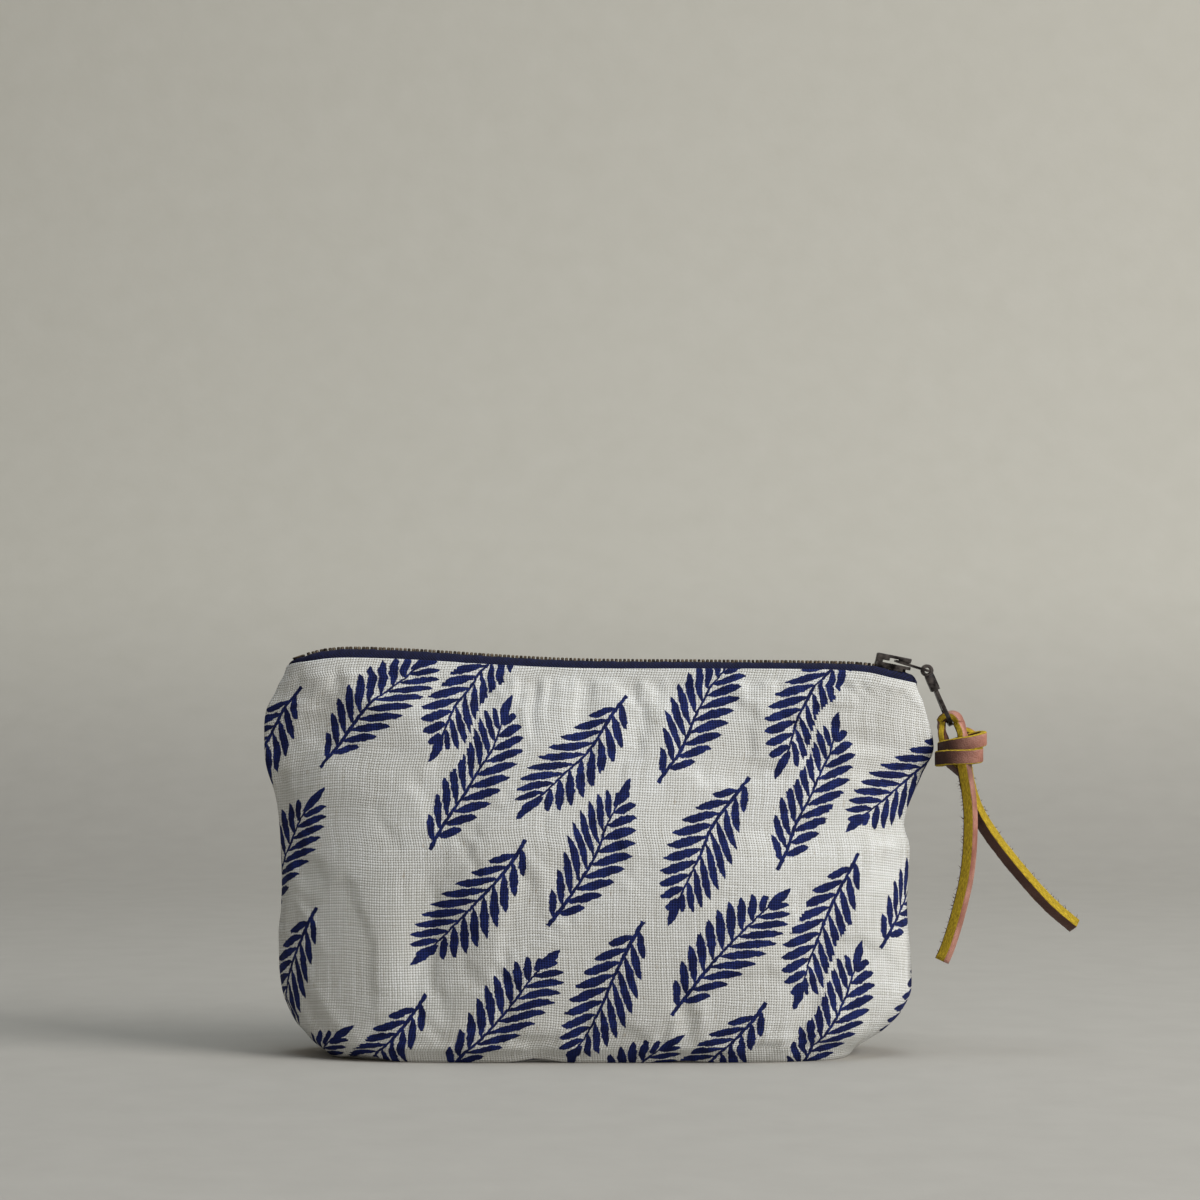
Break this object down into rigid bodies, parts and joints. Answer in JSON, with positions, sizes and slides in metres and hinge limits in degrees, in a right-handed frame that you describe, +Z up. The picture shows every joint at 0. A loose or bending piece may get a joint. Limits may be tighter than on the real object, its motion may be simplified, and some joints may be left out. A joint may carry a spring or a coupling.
{
  "type": "zippered fabric pouch",
  "caption": "Small lined linen pouch with a flat boxed base, a metal zip across the top and a knotted leather lace on the zip pull.",
  "frame": {"origin": "the middle of the pouch's width, on the flat underside of its base", "axes": "+Z up, +X to the right as seen from the front, towards the closed end of the zip, front faces -Y"},
  "size_m": [0.2154, 0.0484, 0.1065],
  "materials": {
    "linen": "plain-weave natural linen with a dark blue print",
    "lining_cotton": "plain cotton",
    "zip_tape": "navy herringbone twill tape",
    "zip_metal": "antique dark metal",
    "slider_metal": "antique dark metal, worn bright on its edges",
    "lace_leather": "brown grain side, yellow cut edges and flesh side"
  },
  "bodies": {
    "pouch": {"outer_shell": "linen", "lining": "lining_cotton", "front_tape": "zip_tape", "back_tape": "zip_tape", "front_teeth": "zip_metal", "back_teeth": "zip_metal", "bottom_stop": "zip_metal", "front_top_stop": "zip_metal", "back_top_stop": "zip_metal"},
    "slider": {"slider_body": "slider_metal", "slider_cover": "slider_metal"},
    "link": {"pull_link": "slider_metal"},
    "pull": {"pull_tab": "slider_metal"},
    "lace": {"lace_knot": "lace_leather", "lace_tail_front": "lace_leather", "lace_tail_back": "lace_leather"}
  },
  "joints": [
    {"name": "slider_travel", "type": "slide", "parent": "pouch", "child": "slider", "axis": [-0.9994, 0, 0.0352], "range_m": [0, 0.148], "deforming": ["front_teeth", "back_teeth", "front_tape", "back_tape", "outer_shell", "lining"]},
    {"name": "link_swing", "type": "hinge", "parent": "slider", "child": "link", "pos_m": [0.07807, 0, 0.10275], "axis": [0, -1, 0], "range_deg": [0, 110]},
    {"name": "tab_swing", "type": "hinge", "parent": "link", "child": "pull", "pos_m": [0.08601, 0, 0.10032], "axis": [0, -1, 0], "range_deg": [0, 60]},
    {"name": "lace_swing", "type": "hinge", "parent": "pull", "child": "lace", "pos_m": [0.09213, 0, 0.08624], "axis": [0, -1, 0], "range_deg": [0, 30]}
  ]
}
